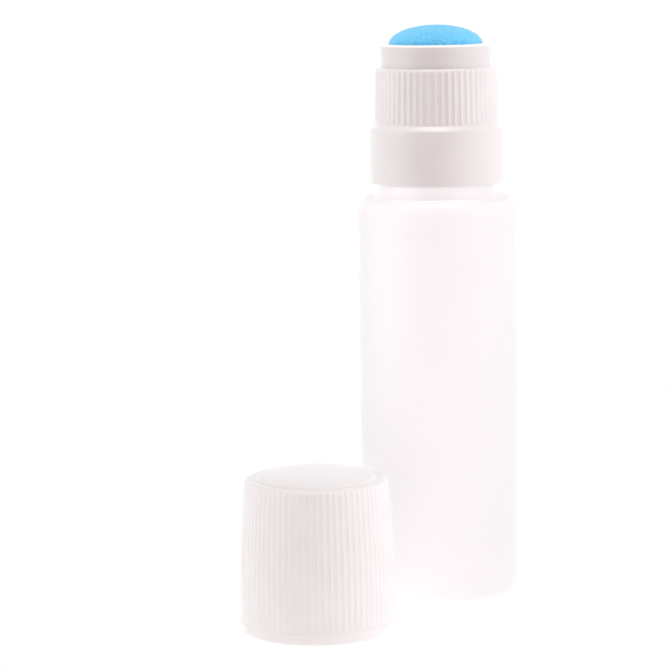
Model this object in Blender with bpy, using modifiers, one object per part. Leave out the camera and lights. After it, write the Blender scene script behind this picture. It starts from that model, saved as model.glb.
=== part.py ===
"""Sponge-tip applicator bottle for lens cleaner, with its cap standing beside it.

Frame: metres, +Z up, origin on the bottle's axis at the face it stands on.
Every length below is in millimetres and is turned into metres by MM.
"""

import math

import bmesh
import bpy
from mathutils import Matrix, Vector

MM = 0.001
GAP = 0.3                  # clearance kept between pieces that touch or rest on each other

# ---- driving dimensions -------------------------------------------------------------------
BODY_R = 16.0              # bottle body, a 32 mm round
BODY_WALL = 1.1
BASE_ROUND = 2.3           # rounding between the base and the wall
SHOULDER_Z = 82.0          # top of the bottle's shoulder
SHOULDER_ROUND = 2.5
NECK_BASE_R = 11.5         # plain collar of the neck, below the thread
NECK_BASE_TOP = 85.9
NECK_R = 10.9              # neck at the root of the thread
NECK_BORE_R = 9.3
LIP_Z = 92.7               # sealing lip of the neck

THREAD_LEAD = 3.175        # one turn, 8 threads to the inch as on 24 mm closures
NECK_THREAD_R = 11.9       # crest of the neck's thread
COLLAR_THREAD_R = 11.25    # crest of the collar's inner thread
THREAD_START_Z = 87.3      # middle of the neck thread's ridge where it starts
THREAD_TURNS = 1.2

SKIRT_R = 13.45            # smooth skirt of the applicator head
SKIRT_BOTTOM = 84.95
SKIRT_TOP = 96.2
SKIRT_BORE_R = 12.45
BAND_R_LOW = 12.4          # ribbed grip band above the skirt, slightly tapered
BAND_R_HIGH = 12.15
BAND_BOTTOM = 96.9
BAND_TOP = 108.2
CHAMBER_R = 11.2           # hollow inside the grip band
BAND_LIP_R = 10.7          # lip that the sponge ring snaps under
COLLAR_RIBS = 58

RING_R = 11.0              # smooth ring round the sponge
RING_BORE_R = 9.6
RING_TOP = 112.95
RING_FOOT = 105.6          # bottom of the ring's hidden sleeve

SPONGE_R = 9.3
SPONGE_TOP = 116.7

PLATE_R = 10.7             # perforated plate that carries the sponge
PLATE_TOP = 105.3
PLATE_BOTTOM = 103.5
BOSS_R = 3.0
BOSS_BOTTOM = 100.5

VALVE_CUP_R = 8.9          # cup that hangs in the neck and holds the valve
VALVE_CUP_BORE_R = 7.9
VALVE_FLANGE_R = 12.0
VALVE_FLANGE_TOP = 95.0
VALVE_FLANGE_BOTTOM = 93.9
VALVE_FLOOR_TOP = 87.5
VALVE_FLOOR_BOTTOM = 86.5
VALVE_SEAT_R = 3.2

STEM_R = 1.5
STEM_FIN_REACH = 2.9
STEM_HEAD_R = 2.6
STEM_HEAD_HEIGHT = 1.0
DISC_R = 4.4
DISC_THICKNESS = 1.3

SPRING_R = 4.8             # mean radius of the coil
SPRING_WIRE_R = 0.3
SPRING_TURNS = 6.5

CAP_AXIS = (-25.3, -29.3)  # where the cap stands beside the bottle
CAP_RIM_R = 15.3           # plain bead round the mouth
CAP_RIM_HEIGHT = 2.15
CAP_WALL = [               # ribbed wall from the bead up and over the shoulder: radius, height
    (15.1, 2.5),
    (15.05, 14.0),
    (14.4, 25.5),
    (14.05, 29.5),
    (13.85, 29.95),
    (13.4, 30.15),
]
CAP_DOME_R = 12.3          # low dome raised on the top, inside a narrow ledge
CAP_CROWN_Z = 31.15        # middle of the dome
CAP_MOUTH_R = 13.85        # slides over the head's skirt
CAP_LEDGE_Z = 7.0          # inner ledge that stops on the skirt's top
CAP_BORE_R = 12.75
CAP_TOP_WALL = 2.0
CAP_RIBS = 72
LINER_R = 12.0
LINER_THICKNESS = 1.0

RIB_DEPTH = 0.28

# ---- scene set-up -------------------------------------------------------------------------
for old in list(bpy.data.objects):
    bpy.data.objects.remove(old, do_unlink=True)

parts = bpy.data.collections.new("lens_cleaner_applicator")
cutters = bpy.data.collections.new("cutters")
bpy.context.scene.collection.children.link(parts)
bpy.context.scene.collection.children.link(cutters)


def plastic(name, color, roughness, alpha=1.0):
    """A plain Principled material in the part's colour."""
    material = bpy.data.materials.new(name)
    material.use_nodes = True
    shader = material.node_tree.nodes["Principled BSDF"]
    shader.inputs["Base Color"].default_value = (*color, 1.0)
    shader.inputs["Roughness"].default_value = roughness
    shader.inputs["Metallic"].default_value = 0.0
    shader.inputs["Alpha"].default_value = alpha
    return material


natural_hdpe = plastic("natural_hdpe", (0.88, 0.86, 0.86), 0.38)
white_pp = plastic("white_pp", (0.84, 0.81, 0.81), 0.32)
clear_pp = plastic("natural_pp", (0.74, 0.75, 0.74), 0.35)
blue_foam = plastic("blue_foam", (0.10, 0.47, 0.88), 0.95)
white_foam = plastic("white_foam", (0.80, 0.80, 0.78), 0.85)
black_rubber = plastic("black_rubber", (0.03, 0.03, 0.03), 0.60)
spring_steel = plastic("spring_steel", (0.55, 0.55, 0.56), 0.28)
spring_steel.node_tree.nodes["Principled BSDF"].inputs["Metallic"].default_value = 1.0


# ---- modelling helpers --------------------------------------------------------------------
def arc(center, radius, start_deg, end_deg, count):
    """Points of a circular arc in the (radius, height) plane, ends included."""
    points = []
    for i in range(count):
        angle = math.radians(start_deg + (end_deg - start_deg) * i / (count - 1))
        points.append((center[0] + radius * math.cos(angle), center[1] + radius * math.sin(angle)))
    return points


def mesh_object(name, mesh, material, collection, parent=None):
    """Put a mesh in the scene as a smooth-shaded object with sharp creases kept."""
    piece = bpy.data.objects.new(name, mesh)
    if material is not None:
        mesh.materials.append(material)
    collection.objects.link(piece)
    piece.parent = parent
    return piece


def turned(name, profile, steps, material, parent, closed=False):
    """Turn a (radius, height) profile round Z with a Screw modifier.

    The profile runs down the piece's outer side. A closed profile makes a ring, and an open
    one starts and ends on the axis.
    """
    mesh = bpy.data.meshes.new(name)
    points = [(r * MM, 0.0, z * MM) for r, z in profile]
    edges = [(i, i + 1) for i in range(len(points) - 1)]
    if closed:
        edges.append((len(points) - 1, 0))
    mesh.from_pydata(points, edges, [])
    piece = mesh_object(name, mesh, material, parts, parent)
    screw = piece.modifiers.new("turn", "SCREW")
    screw.steps = steps
    screw.render_steps = steps
    screw.use_merge_vertices = True
    screw.merge_threshold = 0.00001
    screw.use_smooth_shade = True
    return piece


def add_boolean(piece, tool, operation):
    """Cut or join a tool object into a piece, keeping the EXACT solver."""
    tool.hide_render = True
    tool.display_type = "WIRE"
    tool.parent = piece.parent
    boolean = piece.modifiers.new(tool.name, "BOOLEAN")
    boolean.operation = operation
    boolean.object = tool


def mesh_from(name, builder):
    """Run a bmesh builder and return the mesh it makes, with its faces pointing out."""
    shape = bmesh.new()
    builder(shape)
    bmesh.ops.recalc_face_normals(shape, faces=shape.faces)
    mesh = bpy.data.meshes.new(name)
    shape.to_mesh(mesh)
    shape.free()
    return mesh


def thread_ridge(name, root_r, crest_r, start_z, start_turn, turns):
    """A right-hand helical ridge of trapezoid section that runs out to nothing at both ends."""
    steps_per_turn = 28
    count = round(turns * steps_per_turn)
    run_out = 4                      # steps over which the ridge grows and fades
    buried = 0.35                    # how far the ridge's foot sits inside the wall
    outward = 1.0 if crest_r > root_r else -1.0
    half_root, half_crest = 0.75, 0.38

    def build(shape):
        rings = []
        for i in range(count + 1):
            height = min(1.0, (min(i, count - i) + 0.4) / run_out)
            turn = start_turn + i / steps_per_turn
            angle = 2 * math.pi * turn
            z = start_z + THREAD_LEAD * turn
            crest = root_r + (crest_r - root_r) * height
            section = [
                (root_r - outward * buried, z - half_root),
                (crest, z - half_crest),
                (crest, z + half_crest),
                (root_r - outward * buried, z + half_root),
            ]
            ring = []
            for r, height_z in section:
                point = (r * math.cos(angle) * MM, r * math.sin(angle) * MM, height_z * MM)
                ring.append(shape.verts.new(point))
            rings.append(ring)
        for low, high in zip(rings, rings[1:]):
            for k in range(4):
                after = (k + 1) % 4
                shape.faces.new((low[k], low[after], high[after], high[k]))
        shape.faces.new(rings[0])
        shape.faces.new(rings[-1])

    return mesh_object(name, mesh_from(name, build), None, cutters)


def grip_grooves(name, count, wall, parent):
    """V-shaped bars that follow a wall's profile; cutting them away leaves grip ribs."""
    half_width = RIB_DEPTH * 1.25
    facet = math.cos(math.pi / count)

    def build(shape):
        for i in range(count):
            turn = Matrix.Rotation(2 * math.pi * (i + 0.5) / count, 4, "Z")
            sections = []
            for k, (r, z) in enumerate(wall):
                before = wall[max(k - 1, 0)]
                after = wall[min(k + 1, len(wall) - 1)]
                along = Vector((after[0] - before[0], 0.0, after[1] - before[1])).normalized()
                outward = Vector((along.z, 0.0, -along.x))
                middle = Vector((r * facet, 0.0, z))
                corners = [
                    middle + outward * RIB_DEPTH,
                    middle + Vector((0.0, half_width, 0.0)),
                    middle - outward * RIB_DEPTH,
                    middle - Vector((0.0, half_width, 0.0)),
                ]
                sections.append([shape.verts.new(turn @ corner * MM) for corner in corners])
            for low, high in zip(sections, sections[1:]):
                for k in range(4):
                    after = (k + 1) % 4
                    shape.faces.new((low[k], low[after], high[after], high[k]))
            shape.faces.new(sections[0])
            shape.faces.new(sections[-1])

    return mesh_object(name, mesh_from(name, build), None, cutters, parent)


def joint_empty(name, x, y, z, parent=None):
    """An empty on a joint's axis, which its moving pieces hang on."""
    empty = bpy.data.objects.new(name, None)
    empty.empty_display_size = 5 * MM
    empty.location = (x * MM, y * MM, z * MM)
    empty.parent = parent
    parts.objects.link(empty)
    return empty


# ---- bottle -------------------------------------------------------------------------------
def make_bottle():
    """Blow-moulded bottle with its threaded neck: one open-mouthed shell."""
    inner_r = BODY_R - BODY_WALL
    floor_z = 1.3
    inner_round = BASE_ROUND - 0.6
    shoulder_underside = SHOULDER_Z - 1.2
    inner_wall = [
        (0.0, floor_z),
        *arc((inner_r - inner_round, floor_z + inner_round), inner_round, -90, 0, 4),
        *arc((inner_r - 2.0, shoulder_underside - 2.0), 2.0, 0, 90, 4),
        (NECK_BORE_R + 0.6, shoulder_underside),
        (NECK_BORE_R, shoulder_underside + 0.9),
    ]
    lip = [
        (NECK_BORE_R, LIP_Z - 0.2),
        (NECK_BORE_R + 0.2, LIP_Z),
        (NECK_R - 0.3, LIP_Z),
        (NECK_R, LIP_Z - 0.3),
    ]
    neck = [
        (NECK_R, NECK_BASE_TOP + 0.3),
        (NECK_R + 0.3, NECK_BASE_TOP),
        (NECK_BASE_R - 0.3, NECK_BASE_TOP),
        (NECK_BASE_R, NECK_BASE_TOP - 0.3),
        (NECK_BASE_R, SHOULDER_Z + 0.5),
        (NECK_BASE_R + 0.5, SHOULDER_Z),
    ]
    shoulder = arc(
        (BODY_R - SHOULDER_ROUND, SHOULDER_Z - SHOULDER_ROUND), SHOULDER_ROUND, 90, 0, 6
    )
    base = arc((BODY_R - BASE_ROUND, BASE_ROUND), BASE_ROUND, 0, -90, 5)
    profile = inner_wall + lip + neck + shoulder + base + [(0.0, 0.0)]
    bottle = turned("bottle", profile, 44, natural_hdpe, None)
    ridge = thread_ridge(
        "neck_thread", NECK_R, NECK_THREAD_R, THREAD_START_Z, 0.0, THREAD_TURNS
    )
    add_boolean(bottle, ridge, "UNION")


# ---- applicator head ----------------------------------------------------------------------
def make_neck_seal(parent):
    """Foam washer between the neck's lip and the valve cup's flange."""
    top = VALVE_FLANGE_BOTTOM - GAP
    bottom = LIP_Z + GAP
    profile = [(11.6, top), (11.6, bottom), (9.6, bottom), (9.6, top)]
    turned("neck_seal", profile, 40, white_foam, parent, closed=True)


def make_collar(parent):
    """Threaded skirt and ribbed grip band, moulded in one."""
    skirt_ceiling = SKIRT_TOP - 0.9
    profile = [
        (BAND_LIP_R, BAND_TOP),
        (BAND_R_HIGH - 0.55, BAND_TOP),
        (BAND_R_HIGH, BAND_TOP - 0.55),
        (BAND_R_LOW, BAND_BOTTOM + 0.3),
        (BAND_R_LOW + 0.25, BAND_BOTTOM - 0.15),
        (SKIRT_R - 0.5, SKIRT_TOP + 0.35),
        (SKIRT_R - 0.12, SKIRT_TOP + 0.1),
        (SKIRT_R, SKIRT_TOP - 0.3),
        (SKIRT_R, SKIRT_BOTTOM + 0.9),
        (SKIRT_R - 0.25, SKIRT_BOTTOM + 0.3),
        (SKIRT_R - 0.75, SKIRT_BOTTOM),
        (SKIRT_BORE_R, SKIRT_BOTTOM),
        (SKIRT_BORE_R, skirt_ceiling),
        (CHAMBER_R, skirt_ceiling),
        (CHAMBER_R, BAND_TOP - 1.0),
        (BAND_LIP_R, BAND_TOP - 1.0),
    ]
    collar = turned("applicator_collar", profile, COLLAR_RIBS, white_pp, parent, closed=True)
    band_wall = [(BAND_R_LOW, BAND_BOTTOM + 0.2), (BAND_R_HIGH, BAND_TOP + 1.0)]
    grooves = grip_grooves("collar_grooves", COLLAR_RIBS, band_wall, parent)
    add_boolean(collar, grooves, "DIFFERENCE")
    # the inner ridge runs half a lead away from the neck's, so the two never touch
    ridge = thread_ridge(
        "collar_thread", SKIRT_BORE_R, COLLAR_THREAD_R, THREAD_START_Z + THREAD_LEAD / 2,
        -0.5, THREAD_TURNS
    )
    add_boolean(collar, ridge, "UNION")


def make_sponge_ring(parent):
    """Smooth ring round the sponge, with a sleeve that snaps under the collar's lip."""
    sleeve_r = BAND_LIP_R - GAP
    seat = BAND_TOP + GAP
    bead_top = BAND_TOP - 1.0 - GAP
    profile = [
        (RING_BORE_R + 0.35, RING_TOP),
        *arc((RING_R - 0.7, RING_TOP - 0.7), 0.7, 90, 0, 4),
        (RING_R + 0.05, seat),
        (sleeve_r, seat),
        (sleeve_r, bead_top),
        (CHAMBER_R - GAP, bead_top),
        (CHAMBER_R - GAP, bead_top - 0.5),
        (sleeve_r, RING_FOOT),
        (RING_BORE_R, RING_FOOT),
        (RING_BORE_R, RING_TOP - 0.35),
    ]
    turned("sponge_ring", profile, 48, white_pp, parent, closed=True)


def make_valve_cup(parent):
    """Cup hanging in the neck, whose floor has the valve seat's hole."""
    profile = [
        (VALVE_FLANGE_R, VALVE_FLANGE_TOP),
        (VALVE_FLANGE_R, VALVE_FLANGE_BOTTOM),
        (VALVE_CUP_R, VALVE_FLANGE_BOTTOM),
        (VALVE_CUP_R, VALVE_FLOOR_BOTTOM + 0.5),
        (VALVE_CUP_R - 0.5, VALVE_FLOOR_BOTTOM),
        (VALVE_SEAT_R, VALVE_FLOOR_BOTTOM),
        (VALVE_SEAT_R, VALVE_FLOOR_TOP - 0.2),
        (VALVE_SEAT_R + 0.2, VALVE_FLOOR_TOP),
        (VALVE_CUP_BORE_R, VALVE_FLOOR_TOP),
        (VALVE_CUP_BORE_R, VALVE_FLANGE_TOP),
    ]
    turned("valve_cup", profile, 40, clear_pp, parent, closed=True)


def make_valve_spring(parent):
    """Steel coil between the cup's floor and the sponge plate."""
    bottom = VALVE_FLOOR_TOP + GAP + SPRING_WIRE_R
    top = PLATE_BOTTOM - GAP - SPRING_WIRE_R
    points_per_turn = 14
    count = round(SPRING_TURNS * points_per_turn)
    curve = bpy.data.curves.new("valve_spring", "CURVE")
    curve.dimensions = "3D"
    curve.bevel_depth = SPRING_WIRE_R * MM
    curve.bevel_resolution = 2
    curve.use_fill_caps = True
    spline = curve.splines.new("POLY")
    spline.points.add(count)
    for i, point in enumerate(spline.points):
        angle = 2 * math.pi * i / points_per_turn
        x = SPRING_R * math.cos(angle) * MM
        y = SPRING_R * math.sin(angle) * MM
        z = (bottom + (top - bottom) * i / count) * MM
        point.co = (x, y, z, 1.0)
    curve.materials.append(spring_steel)
    spring = bpy.data.objects.new("valve_spring", curve)
    spring.parent = parent
    parts.objects.link(spring)


# ---- sponge and valve stem, which are pressed down together ---------------------------------
def make_sponge(parent):
    """Cylinder of foam with a low elliptical dome."""
    foot = PLATE_TOP + GAP
    dome_edge = RING_TOP + 0.1
    dome_height = SPONGE_TOP - dome_edge
    dome_steps = 7
    profile = []
    for i in range(dome_steps + 1):
        angle = math.pi / 2 * i / dome_steps
        profile.append((SPONGE_R * math.sin(angle), dome_edge + dome_height * math.cos(angle)))
    profile[0] = (0.0, SPONGE_TOP)
    profile += [(SPONGE_R, foot), (0.0, foot)]
    turned("sponge_tip", profile, 40, blue_foam, parent)


def make_sponge_plate(parent):
    """Perforated plate under the sponge, with a socket for the valve stem."""
    socket_r = STEM_R + GAP
    profile = [
        (0.0, PLATE_TOP),
        (PLATE_R - 0.2, PLATE_TOP),
        (PLATE_R, PLATE_TOP - 0.2),
        (PLATE_R, PLATE_BOTTOM),
        (BOSS_R, PLATE_BOTTOM),
        (BOSS_R, BOSS_BOTTOM),
        (socket_r, BOSS_BOTTOM),
        (socket_r, PLATE_BOTTOM - 0.4),
        (0.0, PLATE_BOTTOM - 0.4),
    ]
    plate = turned("sponge_plate", profile, 40, clear_pp, parent)
    hole_r = 0.95
    rows = [(6, 4.3), (12, 7.9)]     # holes in each circle, and the circle's radius

    def build(shape):
        for count, row_r in rows:
            for i in range(count):
                angle = 2 * math.pi * (i + 0.5) / count
                center = Vector((row_r * math.cos(angle), row_r * math.sin(angle), 0.0))
                center.z = (PLATE_TOP + PLATE_BOTTOM) / 2
                bmesh.ops.create_cone(
                    shape, cap_ends=True, segments=10, radius1=hole_r * MM,
                    radius2=hole_r * MM, depth=4 * MM, matrix=Matrix.Translation(center * MM)
                )

    holes = mesh_object("plate_holes", mesh_from("plate_holes", build), None, cutters)
    add_boolean(plate, holes, "DIFFERENCE")


def make_valve_stem(parent):
    """Headed pin with four fins that centre it in the seat's hole."""
    disc_top = VALVE_FLOOR_BOTTOM - GAP
    head_top = disc_top - DISC_THICKNESS - GAP
    tip = PLATE_BOTTOM - 0.4 - GAP
    profile = [
        (0.0, tip),
        (STEM_R - 0.3, tip),
        (STEM_R, tip - 0.3),
        (STEM_R, head_top),
        (STEM_HEAD_R, head_top),
        (STEM_HEAD_R, head_top - STEM_HEAD_HEIGHT + 0.3),
        (STEM_HEAD_R - 0.3, head_top - STEM_HEAD_HEIGHT),
        (0.0, head_top - STEM_HEAD_HEIGHT),
    ]
    stem = turned("valve_stem", profile, 24, white_pp, parent)
    fin_bottom = VALVE_FLOOR_BOTTOM + 0.05
    fin_top = BOSS_BOTTOM - GAP
    fin_thickness = 0.9
    for name, angle in (("stem_fins_x", 0.1), ("stem_fins_y", 0.1 + math.pi / 2)):
        place = (
            Matrix.Translation(Vector((0.0, 0.0, (fin_bottom + fin_top) / 2)) * MM)
            @ Matrix.Rotation(angle, 4, "Z")
            @ Matrix.Diagonal(
                (2 * STEM_FIN_REACH * MM, fin_thickness * MM, (fin_top - fin_bottom) * MM, 1.0)
            )
        )

        def build(shape, place=place):
            bmesh.ops.create_cube(shape, size=1.0, matrix=place)

        fins = mesh_object(name, mesh_from(name, build), None, cutters)
        add_boolean(stem, fins, "UNION")


def make_valve_disc(parent):
    """Rubber disc that closes against the underside of the cup's floor."""
    top = VALVE_FLOOR_BOTTOM - GAP
    bottom = top - DISC_THICKNESS
    bore = STEM_R + GAP
    profile = [(DISC_R, top), (DISC_R, bottom), (bore, bottom), (bore, top)]
    turned("valve_disc", profile, 28, black_rubber, parent, closed=True)


# ---- cap ----------------------------------------------------------------------------------
def make_cap_shell(parent):
    """Ribbed cap standing on its mouth."""
    ceiling = CAP_CROWN_Z - CAP_TOP_WALL
    top_edge_z = CAP_WALL[-1][1]
    dome_height = CAP_CROWN_Z - top_edge_z
    dome = [(0.0, CAP_CROWN_Z)]
    for angle in (25, 45, 60, 72, 82, 90):
        tilt = math.radians(angle)
        dome.append((CAP_DOME_R * math.sin(tilt), top_edge_z + dome_height * math.cos(tilt)))
    profile = [
        *dome,
        *reversed(CAP_WALL),
        (CAP_RIM_R, CAP_RIM_HEIGHT),
        (CAP_RIM_R, 0.5),
        (CAP_RIM_R - 0.5, 0.0),
        (CAP_MOUTH_R + 0.2, 0.0),
        (CAP_MOUTH_R, 0.3),
        (CAP_MOUTH_R, CAP_LEDGE_Z),
        (CAP_MOUTH_R - 0.8, CAP_LEDGE_Z),
        (CAP_BORE_R, ceiling),
        (0.0, ceiling),
    ]
    cap = turned("cap_shell", profile, CAP_RIBS, white_pp, parent)
    first_r, first_z = CAP_WALL[0]
    groove_path = [(first_r, first_z + 0.15), *CAP_WALL[1:4], (13.95, CAP_CROWN_Z)]
    grooves = grip_grooves("cap_grooves", CAP_RIBS, groove_path, parent)
    add_boolean(cap, grooves, "DIFFERENCE")


def make_cap_liner(parent):
    """Foam disc under the cap's top, which the sponge rests against when the cap is on."""
    top = CAP_CROWN_Z - CAP_TOP_WALL - GAP
    bottom = top - LINER_THICKNESS
    profile = [(0.0, top), (LINER_R, top), (LINER_R, bottom), (0.0, bottom)]
    turned("cap_liner", profile, 40, white_foam, parent)


def build_model():
    make_bottle()
    head_axis = joint_empty("head_axis", 0.0, 0.0, 0.0)
    make_neck_seal(head_axis)
    make_collar(head_axis)
    make_sponge_ring(head_axis)
    make_valve_cup(head_axis)
    make_valve_spring(head_axis)
    press_axis = joint_empty("press_axis", 0.0, 0.0, 0.0, head_axis)
    make_sponge(press_axis)
    make_sponge_plate(press_axis)
    make_valve_stem(press_axis)
    make_valve_disc(press_axis)
    cap_axis = joint_empty("cap_axis", CAP_AXIS[0], CAP_AXIS[1], 0.0)
    make_cap_shell(cap_axis)
    make_cap_liner(cap_axis)


build_model()
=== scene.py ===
"""Looks of the sponge-tip lens cleaner bottle: fine meshes, materials, studio and camera.

Lengths are in millimetres until MM turns them into metres. Each piece is sized from the box of
the CAD node that it replaces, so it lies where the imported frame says.
"""

import math

import bmesh
import bpy
import numpy as np
from mathutils import Matrix, Vector, noise


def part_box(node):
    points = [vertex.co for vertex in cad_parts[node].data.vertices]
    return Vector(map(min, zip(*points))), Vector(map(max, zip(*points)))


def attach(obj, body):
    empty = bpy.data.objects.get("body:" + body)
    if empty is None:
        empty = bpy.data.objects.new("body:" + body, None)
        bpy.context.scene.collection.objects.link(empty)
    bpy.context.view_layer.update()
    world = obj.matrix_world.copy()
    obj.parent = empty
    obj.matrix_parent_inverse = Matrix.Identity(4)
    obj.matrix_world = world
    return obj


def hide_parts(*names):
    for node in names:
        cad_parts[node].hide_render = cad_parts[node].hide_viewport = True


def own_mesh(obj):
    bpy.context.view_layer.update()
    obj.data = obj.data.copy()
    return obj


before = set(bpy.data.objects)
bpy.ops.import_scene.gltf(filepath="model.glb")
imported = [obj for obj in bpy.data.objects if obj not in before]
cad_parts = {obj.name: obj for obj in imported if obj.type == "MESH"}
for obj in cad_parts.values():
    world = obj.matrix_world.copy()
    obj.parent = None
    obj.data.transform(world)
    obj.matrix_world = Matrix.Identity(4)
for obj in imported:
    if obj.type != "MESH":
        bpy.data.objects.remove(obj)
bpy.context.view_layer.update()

MM = 0.001
GAP = 0.3                # clearance kept between pieces that touch in the real object
SHARP_ANGLE = 38         # edges that bend by more degrees than this stay sharp
COLLAR_RIBS = 58
CAP_RIBS = 72
COLLAR_RIB_DEPTH = 0.14
CAP_RIB_DEPTH = 0.10
STEPS_PER_RIB = 12
THREAD_LEAD = 3.175
THREAD_TURNS = 1.2
THREAD_DROP = 5.4        # from the neck's lip down to where the neck's ridge starts


class RoundNode:
    """Centre, outer radius, bottom and top of a round CAD node, in millimetres."""

    def __init__(self, node):
        low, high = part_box(node)
        self.x = (low.x + high.x) / 2 / MM
        self.y = (low.y + high.y) / 2 / MM
        self.radius = (high.x - low.x) / 2 / MM
        self.bottom = low.z / MM
        self.top = high.z / MM


# ---- mesh helpers -------------------------------------------------------------------------
def rounded(corners, count=5, closed=False):
    """Outline through corner points (radius, height, rounding), with its corners rounded off."""
    outline = []
    last = len(corners) - 1
    for i, (r, z, rounding) in enumerate(corners):
        here = Vector((r, z))
        is_end = i in (0, last) and not closed
        if rounding == 0 or is_end:
            outline.append((r, z))
            continue
        before = Vector(corners[i - 1][:2]) - here
        after = Vector(corners[0 if i == last else i + 1][:2]) - here
        reach = rounding / math.tan(before.angle(after) / 2)
        start = here + before.normalized() * min(reach, before.length * 0.48)
        end = here + after.normalized() * min(reach, after.length * 0.48)
        for k in range(count + 1):
            t = k / count
            point = start * (1 - t) ** 2 + here * 2 * t * (1 - t) + end * t**2
            outline.append((point.x, point.y))
    return outline


def finer(outline, low, high, step):
    """The outline with its stretches between two heights split to no more than a step."""
    result = [outline[0]]
    for (r0, z0), (r1, z1) in zip(outline, outline[1:]):
        length = math.hypot(r1 - r0, z1 - z0)
        inside = low <= min(z0, z1) and max(z0, z1) <= high
        pieces = max(1, math.ceil(length / step)) if inside else 1
        for k in range(1, pieces + 1):
            t = k / pieces
            result.append((r0 + (r1 - r0) * t, z0 + (z1 - z0) * t))
    return result


def turned(name, outline, steps, centre=(0.0, 0.0), relief=None, closed=False):
    """A piece turned round an upright axis from an outline that runs down its outer side.

    relief(angle, radius, height) says how far each point moves outwards, for ribs and threads.
    """
    angles = np.linspace(0, 2 * math.pi, steps, endpoint=False)[:, None]
    radii = np.array([point[0] for point in outline])[None, :]
    heights = np.array([point[1] for point in outline])[None, :] + angles * 0
    reach = radii + angles * 0
    if relief is not None:
        reach = reach + relief(angles + radii * 0, reach, heights)
    points = np.stack(
        [centre[0] + reach * np.cos(angles), centre[1] + reach * np.sin(angles), heights], axis=-1
    )
    count = len(outline)
    rows = count if closed else count - 1
    faces = []
    for i in range(steps):
        j = (i + 1) % steps
        for k in range(rows):
            after = (k + 1) % count
            faces.append((i * count + k, i * count + after, j * count + after, j * count + k))
    mesh = bpy.data.meshes.new(name)
    mesh.from_pydata((points.reshape(-1, 3) * MM).tolist(), [], faces)
    weld(mesh)
    return add_piece(name, mesh)


def weld(mesh):
    """Join the points that meet on the axis, and turn the faces outwards."""
    shape = bmesh.new()
    shape.from_mesh(mesh)
    bmesh.ops.remove_doubles(shape, verts=shape.verts, dist=0.000001)
    bmesh.ops.recalc_face_normals(shape, faces=shape.faces)
    shape.to_mesh(mesh)
    shape.free()


def add_piece(name, mesh):
    """Put a mesh in the scene, smooth but for its sharp edges."""
    mesh.shade_smooth()
    mesh.set_sharp_from_angle(angle=math.radians(SHARP_ANGLE))
    piece = bpy.data.objects.new(name, mesh)
    bpy.context.scene.collection.objects.link(piece)
    return piece


def stand_for(piece, node, body, material):
    """Give a piece its material and slot, and let it take a CAD node's place on its body."""
    piece.data.materials.append(material)
    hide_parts(node)
    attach(piece, body)


def window(value, low, high, soft):
    """1 between low and high, fading to 0 over a soft stretch just inside both."""
    rise = np.clip((value - low) / soft, 0, 1)
    fall = np.clip((high - value) / soft, 0, 1)
    share = np.minimum(rise, fall)
    return share * share * (3 - 2 * share)


def rib_relief(count, depth, low, high, inner_limit):
    """Low rounded grip ribs with wide shallow valleys, on the outer wall between two heights."""
    half_width = 0.2
    run_out = 0.35

    def relief(angle, radius, height):
        across = (angle * count / (2 * math.pi) + 0.5) % 1 - 0.5
        valley = 1 - np.exp(-((across / half_width) ** 2))
        outside = radius > inner_limit
        return -depth * valley * window(height, low, high, run_out) * outside

    return relief


def thread_relief(start_z, start_turn, rise, low_r, high_r):
    """A helical ridge of trapezoid section on the wall between two radii."""
    half_root = 0.75
    half_crest = 0.38
    fade = 0.14          # turns over which the ridge rises and falls at its ends

    def relief(angle, radius, height):
        total = np.zeros_like(height)
        first = math.floor(start_turn)
        for lap in range(first, first + 3):
            turn = lap + angle / (2 * math.pi)
            along = turn - start_turn
            run_out = np.clip(np.minimum(along, THREAD_TURNS - along) / fade, 0, 1)
            distance = np.abs(height - (start_z + THREAD_LEAD * turn))
            ridge = np.clip((half_root - distance) / (half_root - half_crest), 0, 1)
            total = np.maximum(total, ridge * run_out)
        on_wall = (radius > low_r) & (radius < high_r)
        return rise * total * on_wall

    return relief


# ---- node helpers -------------------------------------------------------------------------
def map_range(tree, value, source, target):
    """A value carried from one range to another, and kept inside it."""
    node = tree.nodes.new("ShaderNodeMapRange")
    limits = zip(("From Min", "From Max", "To Min", "To Max"), (*source, *target))
    for name, limit in limits:
        node.inputs[name].default_value = limit
    tree.links.new(value, node.inputs["Value"])
    return node.outputs["Result"]


def color_ramp(tree, value, stops):
    """Colours at places along a value from 0 to 1."""
    node = tree.nodes.new("ShaderNodeValToRGB")
    elements = node.color_ramp.elements
    elements.remove(elements[-1])
    for i, (place, color) in enumerate(stops):
        element = elements[0] if i == 0 else elements.new(place)
        element.position = place
        element.color = (*color, 1)
    tree.links.new(value, node.inputs["Fac"])
    return node.outputs["Color"]


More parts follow.
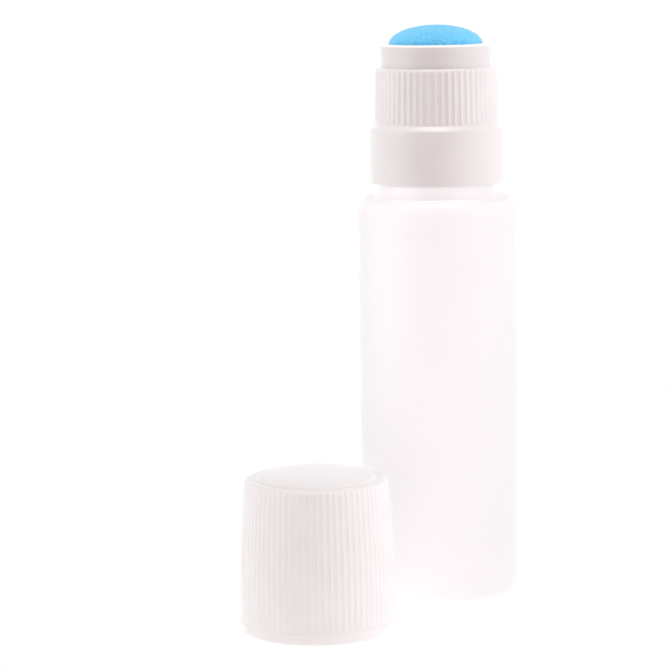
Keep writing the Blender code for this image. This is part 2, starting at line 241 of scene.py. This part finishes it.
# ---- materials ----------------------------------------------------------------------------
class Recipe:
    """A new material's node tree, with short calls to add and join its nodes."""

    def __init__(self, name):
        self.material = bpy.data.materials.new(name)
        self.material.use_nodes = True
        self.tree = self.material.node_tree
        self.nodes = self.tree.nodes
        self.shader = self.nodes["Principled BSDF"]
        self.place = self.nodes.new("ShaderNodeTexCoord").outputs["Object"]

    def set(self, **values):
        for name, value in values.items():
            self.shader.inputs[name.replace("_", " ")].default_value = value

    def join(self, source, target):
        self.tree.links.new(source, target)

    def noise(self, scale, detail=4.0, stretch=(1, 1, 1), roughness=0.5):
        """Fractal noise in object space; scale is in features a metre."""
        mapping = self.nodes.new("ShaderNodeMapping")
        mapping.inputs["Scale"].default_value = stretch
        texture = self.nodes.new("ShaderNodeTexNoise")
        texture.inputs["Scale"].default_value = scale
        texture.inputs["Detail"].default_value = detail
        texture.inputs["Roughness"].default_value = roughness
        self.join(self.place, mapping.inputs["Vector"])
        self.join(mapping.outputs["Vector"], texture.inputs["Vector"])
        return texture.outputs["Fac"]

    def cells(self, scale):
        """Distance inside Voronoi cells in object space, as for foam pores."""
        texture = self.nodes.new("ShaderNodeTexVoronoi")
        texture.inputs["Scale"].default_value = scale
        self.join(self.place, texture.inputs["Vector"])
        return texture.outputs["Distance"]

    def ramp(self, value, *stops):
        return color_ramp(self.tree, value, stops)

    def spread(self, value, low, high):
        """A 0 to 1 value spread from low to high."""
        return map_range(self.tree, value, (0, 1), (low, high))

    def height(self, low, high):
        """0 below one height of the piece and 1 above another, in metres."""
        parts = self.nodes.new("ShaderNodeSeparateXYZ")
        self.join(self.place, parts.inputs["Vector"])
        return map_range(self.tree, parts.outputs["Z"], (low, high), (0, 1))

    def color_mix(self, blend="MIX"):
        """A node that mixes or blends the colours joined to A and B."""
        node = self.nodes.new("ShaderNodeMix")
        node.data_type = "RGBA"
        node.blend_type = blend
        return node

    def bump(self, *layers):
        """Bump from (value, height in millimetres) layers, one on top of the other."""
        normal = None
        for value, height in layers:
            node = self.nodes.new("ShaderNodeBump")
            node.inputs["Strength"].default_value = 1.0
            node.inputs["Distance"].default_value = height * MM
            self.join(value, node.inputs["Height"])
            if normal is not None:
                self.join(normal, node.inputs["Normal"])
            normal = node.outputs["Normal"]
        self.join(normal, self.shader.inputs["Normal"])


def white_plastic(name, tone, rim=None):
    """Moulded white polypropylene: satin, faintly mottled, with a fine moulding grain.

    From a given height upwards its colour is painted lighter. This is a painted highlight on the
    thin rim, standing in for light that comes through the plastic there from both sides.
    """
    recipe = Recipe(name)
    mottle = recipe.noise(160, detail=5)
    grain = recipe.noise(2600, detail=3)
    color = recipe.ramp(
        mottle,
        (0.3, (tone - 0.012, tone - 0.040, tone - 0.036)),
        (0.7, (tone + 0.012, tone - 0.016, tone - 0.012)),
    )
    # Painted highlight: above the given height the colour mixes towards a lighter white.
    if rim is not None:
        fade = 0.25
        painted_rim_highlight = recipe.color_mix()
        painted_rim_highlight.inputs["B"].default_value = (0.95, 0.93, 0.93, 1)
        recipe.join(recipe.height(rim * MM, (rim + fade) * MM), painted_rim_highlight.inputs["Factor"])
        recipe.join(color, painted_rim_highlight.inputs["A"])
        color = painted_rim_highlight.outputs["Result"]
    recipe.join(color, recipe.shader.inputs["Base Color"])
    recipe.join(recipe.spread(mottle, 0.30, 0.40), recipe.shader.inputs["Roughness"])
    recipe.set(IOR=1.49, Subsurface_Weight=0.25, Subsurface_Scale=0.001)
    recipe.set(Subsurface_Radius=(1.0, 0.8, 0.75))
    recipe.bump((mottle, 0.02), (grain, 0.004))
    return recipe.material


def bottle_plastic():
    """Natural polyethylene, milky, with the faint upright streaks of blow moulding."""
    recipe = Recipe("bottle_plastic")
    streaks = recipe.noise(500, detail=4, stretch=(1, 1, 0.03))
    cloud = recipe.noise(90, detail=4)
    grain = recipe.noise(1900, detail=3)
    recipe.join(
        recipe.ramp(cloud, (0.3, (0.81, 0.792, 0.806)), (0.7, (0.82, 0.802, 0.816))),
        recipe.shader.inputs["Base Color"],
    )
    recipe.join(recipe.spread(streaks, 0.36, 0.46), recipe.shader.inputs["Roughness"])
    recipe.set(IOR=1.54, Subsurface_Weight=0.4, Subsurface_Scale=0.002)
    recipe.set(Subsurface_Radius=(1.0, 0.85, 0.8))
    recipe.bump((streaks, 0.012), (cloud, 0.015), (grain, 0.004))
    return recipe.material


def inner_plastic():
    """Natural polypropylene of the hidden valve parts."""
    recipe = Recipe("inner_plastic")
    mottle = recipe.noise(300, detail=4)
    recipe.join(
        recipe.ramp(mottle, (0.3, (0.70, 0.71, 0.70)), (0.7, (0.77, 0.78, 0.77))),
        recipe.shader.inputs["Base Color"],
    )
    recipe.join(recipe.spread(mottle, 0.32, 0.42), recipe.shader.inputs["Roughness"])
    recipe.set(IOR=1.49, Subsurface_Weight=0.2, Subsurface_Scale=0.001)
    recipe.bump((mottle, 0.01))
    return recipe.material


def blue_foam():
    """Sky-blue open-cell foam: fine pores with painted shade inside them, and a soft nap."""
    recipe = Recipe("blue_foam")
    pores = recipe.cells(3200)
    clumps = recipe.noise(1500, detail=5, roughness=0.65)
    shade = recipe.color_mix("MULTIPLY")
    shade.inputs["Factor"].default_value = 0.75
    body = recipe.ramp(
        clumps,
        (0.30, (0.105, 0.480, 0.860)),
        (0.50, (0.135, 0.600, 0.955)),
        (0.72, (0.190, 0.680, 0.990)),
    )
    # Painted shade: the colour darkens towards the middle of each pore, where the bump sinks in.
    pore_shade = recipe.ramp(pores, (0.02, (0.60, 0.66, 0.75)), (0.35, (1.0, 1.0, 1.0)))
    recipe.join(body, shade.inputs["A"])
    recipe.join(pore_shade, shade.inputs["B"])
    recipe.join(shade.outputs["Result"], recipe.shader.inputs["Base Color"])
    recipe.set(Roughness=0.95, Sheen_Weight=0.25, Sheen_Roughness=0.6)
    recipe.set(Subsurface_Weight=0.15, Subsurface_Scale=0.0008, Specular_IOR_Level=0.2)
    recipe.bump((clumps, 0.10), (pores, 0.12))
    return recipe.material


def white_foam():
    """Fine closed-cell foam of the liner and the neck seal."""
    recipe = Recipe("white_foam")
    cells = recipe.cells(4200)
    # Painted shade: each cell is darker towards its middle, where the bump sinks in.
    recipe.join(
        recipe.ramp(cells, (0.0, (0.70, 0.70, 0.68)), (0.5, (0.82, 0.82, 0.80))),
        recipe.shader.inputs["Base Color"],
    )
    recipe.set(Roughness=0.9)
    recipe.bump((cells, 0.05))
    return recipe.material


def valve_rubber():
    """Matte black rubber of the valve disc, with a little bloom."""
    recipe = Recipe("valve_rubber")
    bloom = recipe.noise(700, detail=5)
    recipe.join(
        recipe.ramp(bloom, (0.35, (0.022, 0.022, 0.023)), (0.75, (0.050, 0.050, 0.048))),
        recipe.shader.inputs["Base Color"],
    )
    recipe.join(recipe.spread(bloom, 0.55, 0.75), recipe.shader.inputs["Roughness"])
    recipe.bump((bloom, 0.01))
    return recipe.material


def spring_steel():
    """Drawn steel wire with fine lengthwise marks."""
    recipe = Recipe("spring_steel")
    marks = recipe.noise(5000, detail=2, stretch=(1, 1, 3))
    recipe.join(
        recipe.ramp(marks, (0.3, (0.47, 0.47, 0.48)), (0.7, (0.62, 0.62, 0.63))),
        recipe.shader.inputs["Base Color"],
    )
    recipe.join(recipe.spread(marks, 0.22, 0.36), recipe.shader.inputs["Roughness"])
    recipe.set(Metallic=1.0)
    recipe.bump((marks, 0.003))
    return recipe.material


# ---- bottle -------------------------------------------------------------------------------
def make_bottle(material):
    """Blow-moulded body, rounded shoulder and threaded neck in one shell."""
    node = RoundNode("bottle")
    wall = 1.1
    floor = 1.3
    lip = node.top
    shoulder = lip - 10.7
    neck_base_top = lip - 6.8
    neck_base_r = node.radius - 4.5
    neck_r = node.radius - 5.1
    bore_r = node.radius - 6.7
    corners = [
        (0.0, floor, 0),
        (node.radius - wall, floor, 1.7),
        (node.radius - wall, shoulder - 1.2, 2.0),
        (bore_r, shoulder - 1.2, 0.7),
        (bore_r, lip, 0.2),
        (neck_r, lip, 0.3),
        (neck_r, neck_base_top, 0.25),
        (neck_base_r, neck_base_top, 0.3),
        (neck_base_r, shoulder, 0.5),
        (node.radius, shoulder, 2.5),
        (node.radius, 0.0, 2.3),
        (0.0, 0.0, 0),
    ]
    outline = rounded(corners, count=8)
    outline = finer(outline, neck_base_top, lip, 0.16)
    outline = finer(outline, 0, shoulder, 4.0)
    thread = thread_relief(lip - THREAD_DROP, 0.0, 1.0, neck_r - 0.05, neck_r + 0.05)
    bottle = turned("bottle_shell", outline, 240, relief=thread)
    stand_for(bottle, "bottle", "bottle", material)
    return bottle


# ---- applicator head ----------------------------------------------------------------------
def make_collar(material):
    """Smooth threaded skirt with the ribbed grip band above it."""
    node = RoundNode("applicator_collar")
    skirt_top = node.top - 12.0
    band_bottom = node.top - 11.3
    band_low_r = node.radius - 1.05
    band_high_r = node.radius - 1.3
    bore_r = node.radius - 1.0
    chamber_r = node.radius - 2.25
    ceiling = skirt_top - 0.9
    lip_r = chamber_r - 0.5
    lip_foot = node.top - 1.0
    corners = [
        (lip_r, node.top, 0.12),
        (band_high_r, node.top, 0.7),
        (band_low_r, band_bottom, 0.3),
        (node.radius, skirt_top - 0.1, 0.55),
        (node.radius, node.bottom, 0.2),
        (bore_r, node.bottom, 0.25),
        (bore_r, ceiling, 0.15),
        (chamber_r, ceiling, 0.1),
        (chamber_r, lip_foot, 0.1),
        (lip_r, lip_foot, 0.1),
    ]
    outline = rounded(corners, count=6, closed=True)
    outline = finer(outline, node.bottom, node.top, 0.3)
    ribs = rib_relief(
        COLLAR_RIBS, COLLAR_RIB_DEPTH, band_bottom - 0.05, node.top + 0.1, chamber_r + 0.3
    )
    neck_lip = RoundNode("neck_seal").bottom - GAP
    thread_start = neck_lip - THREAD_DROP + THREAD_LEAD / 2
    thread = thread_relief(thread_start, -0.5, -1.2, bore_r - 0.05, bore_r + 0.05)

    def relief(angle, radius, height):
        return ribs(angle, radius, height) + thread(angle, radius, height)

    collar = turned(
        "head_collar", outline, COLLAR_RIBS * STEPS_PER_RIB, relief=relief, closed=True
    )
    stand_for(collar, "applicator_collar", "applicator_head", material)


def make_ring(material):
    """Smooth ring round the sponge, with its hidden snap-in sleeve."""
    node = RoundNode("sponge_ring")
    collar = RoundNode("applicator_collar")
    bore_r = node.radius - 1.45
    sleeve_r = node.radius - 0.65
    seat = collar.top + 0.01
    snap_top = collar.top - 1.3
    snap_r = node.radius - 0.15
    corners = [
        (bore_r, node.top, 0.45),
        (node.radius - 0.12, node.top, 0.7),
        (node.radius, seat, 0.05),
        (sleeve_r, seat, 0.1),
        (sleeve_r, snap_top, 0.05),
        (snap_r, snap_top, 0.1),
        (snap_r, snap_top - 0.6, 0.1),
        (sleeve_r, node.bottom, 0.2),
        (bore_r, node.bottom, 0.2),
    ]
    outline = finer(rounded(corners, count=7, closed=True), node.bottom, node.top, 1.0)
    ring = turned("head_ring", outline, 200, closed=True)
    stand_for(ring, "sponge_ring", "applicator_head", material)


def make_sponge(material):
    """Domed foam tip, with pores and small uneven spots in its surface."""
    node = RoundNode("sponge_tip")
    ring = RoundNode("sponge_ring")
    edge = ring.top - 0.1
    height = node.top - edge
    dome_r = node.radius + 0.17
    dome_rows = 64
    outline = []
    for i in range(dome_rows + 1):
        angle = math.pi / 2 * i / dome_rows
        outline.append((dome_r * math.sin(angle), edge + height * math.cos(angle)))
    corners = [(*outline[-1], 0), (node.radius, node.bottom, 0.6), (0.0, node.bottom, 0)]
    outline += finer(rounded(corners), node.bottom, edge, 0.4)[1:]
    sponge = turned("foam_tip", outline, 320)
    roughen(sponge, 0.07)
    stand_for(sponge, "sponge_tip", "sponge_plunger", material)


def roughen(piece, depth):
    """Push points in by noise at two sizes, as open pores do, and never out."""
    coarse_scale = 1.3
    fine_scale = 4.5
    points = [vertex.co.copy() for vertex in piece.data.vertices]
    normals = [vertex.normal.copy() for vertex in piece.data.vertices]
    moved = []
    for point, normal in zip(points, normals):
        place = point / MM
        coarse = noise.noise(place * coarse_scale)
        fine = noise.noise(place * fine_scale)
        moved.extend(point - normal * depth * MM * (0.5 + 0.25 * coarse + 0.5 * abs(fine)))
    piece.data.vertices.foreach_set("co", moved)
    piece.data.update()


def make_neck_seal(material):
    """Foam washer on the neck's lip."""
    node = RoundNode("neck_seal")
    hole_r = node.radius - 2.0
    corners = [
        (node.radius, node.top, 0.1),
        (node.radius, node.bottom, 0.1),
        (hole_r, node.bottom, 0.1),
        (hole_r, node.top, 0.1),
    ]
    seal = turned("seal_washer", rounded(corners, closed=True), 120, closed=True)
    stand_for(seal, "neck_seal", "head_seal", material)


def make_valve_cup(material):
    """Cup in the neck, with the valve seat in its floor."""
    node = RoundNode("valve_cup")
    cup_r = node.radius - 3.1
    bore_r = cup_r - 1.0
    seat_r = 3.2
    floor_top = node.bottom + 1.0
    flange_bottom = node.top - 1.1
    corners = [
        (node.radius, node.top, 0.2),
        (node.radius, flange_bottom, 0.2),
        (cup_r, flange_bottom, 0.15),
        (cup_r, node.bottom, 0.5),
        (seat_r, node.bottom, 0.1),
        (seat_r, floor_top, 0.2),
        (bore_r, floor_top, 0.4),
        (bore_r, node.top, 0.2),
    ]
    cup = turned("valve_seat_cup", rounded(corners, closed=True), 120, closed=True)
    stand_for(cup, "valve_cup", "applicator_head", material)


def make_valve_spring(material):
    """Coil between the cup's floor and the sponge plate. The real one shortens as the sponge goes
    in; this one keeps its CAD node's length.
    """
    node = RoundNode("valve_spring")
    wire_r = 0.3
    turns = 6.5
    coil_r = node.radius - wire_r
    steps_per_turn = 36
    count = round(turns * steps_per_turn)
    curve = bpy.data.curves.new("valve_coil", "CURVE")
    curve.dimensions = "3D"
    curve.bevel_depth = wire_r * MM
    curve.bevel_resolution = 4
    curve.use_fill_caps = True
    spline = curve.splines.new("POLY")
    spline.points.add(count)
    low = node.bottom + wire_r
    high = node.top - wire_r
    for i, point in enumerate(spline.points):
        angle = 2 * math.pi * i / steps_per_turn
        z = low + (high - low) * i / count
        point.co = (coil_r * math.cos(angle) * MM, coil_r * math.sin(angle) * MM, z * MM, 1)
    guide = bpy.data.objects.new("valve_coil_guide", curve)
    bpy.context.scene.collection.objects.link(guide)
    graph = bpy.context.evaluated_depsgraph_get()
    mesh = bpy.data.meshes.new_from_object(guide.evaluated_get(graph))
    bpy.data.objects.remove(guide, do_unlink=True)
    weld(mesh)
    coil = add_piece("valve_coil", mesh)
    stand_for(coil, "valve_spring", "applicator_head", material)
    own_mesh(coil)


def make_valve_disc(material):
    """Rubber disc that seals the seat from below."""
    node = RoundNode("valve_disc")
    bore_r = 1.8
    corners = [
        (node.radius, node.top, 0.15),
        (node.radius, node.bottom, 0.3),
        (bore_r, node.bottom, 0.1),
        (bore_r, node.top, 0.1),
    ]
    disc = turned("valve_washer", rounded(corners, closed=True), 96, closed=True)
    stand_for(disc, "valve_disc", "sponge_plunger", material)


# ---- cap ----------------------------------------------------------------------------------
def make_cap(material):
    """Ribbed cap on its mouth: bead, tapered ribbed wall, and a narrow ledge round a low dome."""
    node = RoundNode("cap_shell")
    ledge = node.top - 1.1
    dome_r = node.radius - 3.4
    dome_foot = ledge - 0.05
    dome_rows = 32
    bead_top = 2.15
    wall_r = node.radius - 0.2
    bore_r = node.radius - 1.45
    socket_r = node.radius - 2.25
    socket_foot = 7.0
    ceiling = node.top - 2.0
    corners = [
        (node.radius - 2.3, ledge, 0.3),
        (node.radius - 1.2, ledge - 0.25, 0.55),
        (node.radius - 0.9, node.top - 5.65, 6.0),
        (wall_r - 0.05, 14.0, 6.0),
        (wall_r, bead_top, 0.12),
        (node.radius, bead_top, 0.25),
        (node.radius, 0.0, 0.5),
        (bore_r, 0.0, 0.3),
        (bore_r, socket_foot, 0.15),
        (socket_r, socket_foot, 0.2),
        (socket_r - 0.3, ceiling, 1.0),
        (0.0, ceiling, 0),
    ]
    dome = []
    for i in range(dome_rows + 1):
        share = math.sin(math.pi / 2 * i / dome_rows)
        fall = 1 - math.sqrt(max(0.0, 1 - share**3))
        dome.append((dome_r * share, node.top - (node.top - dome_foot) * fall))
    outline = dome + rounded([(*dome[-1], 0), *corners], count=6)[1:]
    outline = finer(outline, 0, node.top, 0.8)
    ribs = rib_relief(CAP_RIBS, CAP_RIB_DEPTH, bead_top + 0.05, ledge + 0.3, node.radius - 1.75)
    steps = CAP_RIBS * STEPS_PER_RIB
    cap = turned("cap_ribbed", outline, steps, centre=(node.x, node.y), relief=ribs)
    stand_for(cap, "cap_shell", "cap", material)


def make_cap_liner(material):
    """Foam disc under the cap's top."""
    node = RoundNode("cap_liner")
    corners = [
        (0.0, node.top, 0),
        (node.radius, node.top, 0.2),
        (node.radius, node.bottom, 0.35),
        (0.0, node.bottom, 0),
    ]
    outline = finer(rounded(corners), node.bottom, node.top, 0.6)
    liner = turned("cap_disc", outline, 160, centre=(node.x, node.y))
    stand_for(liner, "cap_liner", "cap", material)


def dress_cad_nodes(materials):
    """The plate and the stem keep their CAD shapes and get finished materials."""
    for node, material in materials.items():
        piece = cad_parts[node]
        piece.data.materials.clear()
        piece.data.materials.append(material)


# ---- studio -------------------------------------------------------------------------------
# Brightness of the surroundings by compass direction: degrees to the right of the camera's side,
# seen from the object.
SURROUNDINGS = (
    (-180, (1.10, 1.10, 1.10)),
    (-118, (1.10, 1.10, 1.10)),
    (-95, (2.35, 2.35, 2.33)),
    (-70, (2.30, 2.25, 2.22)),
    (-54, (1.65, 1.55, 1.52)),
    (-42, (0.15, 0.05, 0.05)),
    (6, (0.08, 0.0, 0.0)),
    (16, (0.95, 0.65, 0.65)),
    (32, (1.75, 1.62, 1.62)),
    (46, (2.25, 2.16, 2.18)),
    (98, (1.70, 1.70, 1.72)),
    (120, (1.05, 1.05, 1.05)),
    (180, (1.10, 1.10, 1.10)),
)
# They fade overhead, between two upward slants of a direction (0 is level and 1 straight up),
# from the first strength to the second.
OVERHEAD_SLANTS = (0.2, 0.8)
OVERHEAD_STRENGTHS = (1.05, 0.2)


def make_world():
    """Surroundings that change with the compass direction: dark round the camera, with a bright
    panel on the left and a broad bright stretch on the right. They light the object, and the
    camera sees a plain white backdrop in their place."""
    world = bpy.data.worlds.new("studio")
    bpy.context.scene.world = world
    world.use_nodes = True
    tree = world.node_tree
    nodes = tree.nodes
    links = tree.links
    nodes.clear()
    direction = nodes.new("ShaderNodeTexCoord").outputs["Generated"]
    parts = nodes.new("ShaderNodeSeparateXYZ")
    links.new(direction, parts.inputs["Vector"])
    towards_camera = nodes.new("ShaderNodeMath")
    towards_camera.operation = "MULTIPLY"
    towards_camera.inputs[1].default_value = -1
    links.new(parts.outputs["Y"], towards_camera.inputs[0])
    compass = nodes.new("ShaderNodeMath")
    compass.operation = "ARCTAN2"
    links.new(parts.outputs["X"], compass.inputs[0])
    links.new(towards_camera.outputs["Value"], compass.inputs[1])
    turn = map_range(tree, compass.outputs["Value"], (-math.pi, math.pi), (0, 1))
    stops = [((degrees + 180) / 360, color) for degrees, color in SURROUNDINGS]
    strength = map_range(tree, parts.outputs["Z"], OVERHEAD_SLANTS, OVERHEAD_STRENGTHS)
    light = nodes.new("ShaderNodeBackground")
    links.new(color_ramp(tree, turn, stops), light.inputs["Color"])
    links.new(strength, light.inputs["Strength"])
    backdrop = nodes.new("ShaderNodeBackground")
    backdrop.inputs["Color"].default_value = (1, 1, 1, 1)
    seen = nodes.new("ShaderNodeLightPath")
    mix = nodes.new("ShaderNodeMixShader")
    links.new(seen.outputs["Is Camera Ray"], mix.inputs["Fac"])
    links.new(light.outputs["Background"], mix.inputs[1])
    links.new(backdrop.outputs["Background"], mix.inputs[2])
    output = nodes.new("ShaderNodeOutputWorld")
    links.new(mix.outputs["Shader"], output.inputs["Surface"])


def make_floor():
    """Plain white table. It is seen as white as the backdrop, and lights the object less."""
    half = 0.30
    drop = 0.00005       # under the face that the object stands on, so that the two don't touch
    mesh = bpy.data.meshes.new("table_top")
    corners = [(-half, -half, 0), (half, -half, 0), (half, half, 0), (-half, half, 0)]
    mesh.from_pydata(corners, [], [(0, 1, 2, 3)])
    table = bpy.data.objects.new("table_top", mesh)
    bpy.context.scene.collection.objects.link(table)
    table.location.z = -drop
    recipe = Recipe("table_white")
    recipe.set(Base_Color=(0.65, 0.65, 0.65, 1), Roughness=0.9, Specular_IOR_Level=0.0)
    recipe.set(Emission_Color=(1, 1, 1, 1), Emission_Strength=0.53)
    plain = recipe.nodes.new("ShaderNodeEmission")
    seen = recipe.nodes.new("ShaderNodeLightPath")
    mix = recipe.nodes.new("ShaderNodeMixShader")
    recipe.join(seen.outputs["Is Camera Ray"], mix.inputs["Fac"])
    recipe.join(recipe.shader.outputs["BSDF"], mix.inputs[1])
    recipe.join(plain.outputs["Emission"], mix.inputs[2])
    recipe.join(mix.outputs["Shader"], recipe.nodes["Material Output"].inputs["Surface"])
    mesh.materials.append(recipe.material)


# Upright strips of light in front of the bottle: bottom, top and distance from its axis in
# metres, and power in watts a metre.
GLOW_STRIPS = (
    (-0.018, 0.045, 0.055, 0.083),
    (0.045, 0.125, 0.060, 0.092),
)
GLOW_DIRECTION = math.radians(-14)


def make_glow(piece):
    """The glow strips, which light one milky piece and nothing else: such plastic lets light
    through from all round, so it looks as bright in front as at its sides."""
    lit = bpy.data.collections.new("milky_plastic")
    lit.objects.link(piece)
    for low, high, distance, power in GLOW_STRIPS:
        lamp = bpy.data.lights.new("glow", "AREA")
        lamp.shape = "RECTANGLE"
        lamp.size = 0.004
        lamp.size_y = high - low
        lamp.energy = power * (high - low)
        lamp.use_shadow = False
        light = bpy.data.objects.new("glow", lamp)
        light.location = (
            distance * math.sin(GLOW_DIRECTION),
            -distance * math.cos(GLOW_DIRECTION),
            (low + high) / 2,
        )
        light.rotation_euler = (math.radians(90), 0, GLOW_DIRECTION)
        light.light_linking.receiver_collection = lit
        light.visible_camera = False
        light.visible_glossy = False
        bpy.context.scene.collection.objects.link(light)


def make_top_light():
    """A small soft light above. It casts no shadows, like the light of a whole white ceiling."""
    lamp = bpy.data.lights.new("top_softbox", "AREA")
    lamp.energy = 1.2
    lamp.size = 0.18
    lamp.use_shadow = False
    light = bpy.data.objects.new("top_softbox", lamp)
    light.location = (0.0, -0.05, 0.55)
    aim = Vector((0, 0, 0.06)) - light.location
    light.rotation_euler = aim.to_track_quat("-Z", "Y").to_euler()
    light.visible_camera = False
    bpy.context.scene.collection.objects.link(light)


def make_camera():
    """A long lens a little above the bottle's top, looking slightly down."""
    place = Vector((-21.2, -543.9, 135.4)) * MM
    pitch = math.radians(8.54)
    roll = math.radians(-0.90)
    focal_length = 144.107
    forward = Vector((0, math.cos(pitch), -math.sin(pitch)))
    right = Vector((1, 0, 0))
    up = right.cross(forward)
    tilted_right = right * math.cos(roll) + up * math.sin(roll)
    tilted_up = up * math.cos(roll) - right * math.sin(roll)
    lens = bpy.data.cameras.new("camera")
    lens.sensor_width = 36
    lens.lens = focal_length
    lens.clip_start = 0.05
    lens.clip_end = 20
    camera = bpy.data.objects.new("camera", lens)
    turn = Matrix((tilted_right, tilted_up, -forward)).transposed().to_4x4()
    camera.matrix_world = Matrix.Translation(place) @ turn
    bpy.context.scene.collection.objects.link(camera)
    bpy.context.scene.camera = camera


def make_object():
    """Every piece of the bottle, the head and the cap, and the light that belongs to the bottle."""
    cap_white = white_plastic("cap_white", 0.865)
    head_white = white_plastic("head_white", 0.78)
    # The ring's rim gets a painted highlight from this height upwards.
    rim = RoundNode("sponge_ring").top - 0.55
    # The ring's white is the head's white painted darker (0.72 against 0.78), as painted shade for
    # the dimmer light at the top of the head.
    ring_white_painted_shade = white_plastic("ring_white_painted_shade", 0.72, rim)
    foam = white_foam()
    natural = inner_plastic()
    bottle = make_bottle(bottle_plastic())
    make_neck_seal(foam)
    make_collar(head_white)
    make_ring(ring_white_painted_shade)
    make_sponge(blue_foam())
    make_valve_cup(natural)
    make_valve_spring(spring_steel())
    make_valve_disc(valve_rubber())
    make_cap(cap_white)
    make_cap_liner(foam)
    dress_cad_nodes({"sponge_plate": natural, "valve_stem": head_white})
    make_glow(bottle)


make_camera()
make_object()
make_world()
make_floor()
make_top_light()
bpy.context.scene.view_settings.view_transform = "Standard"
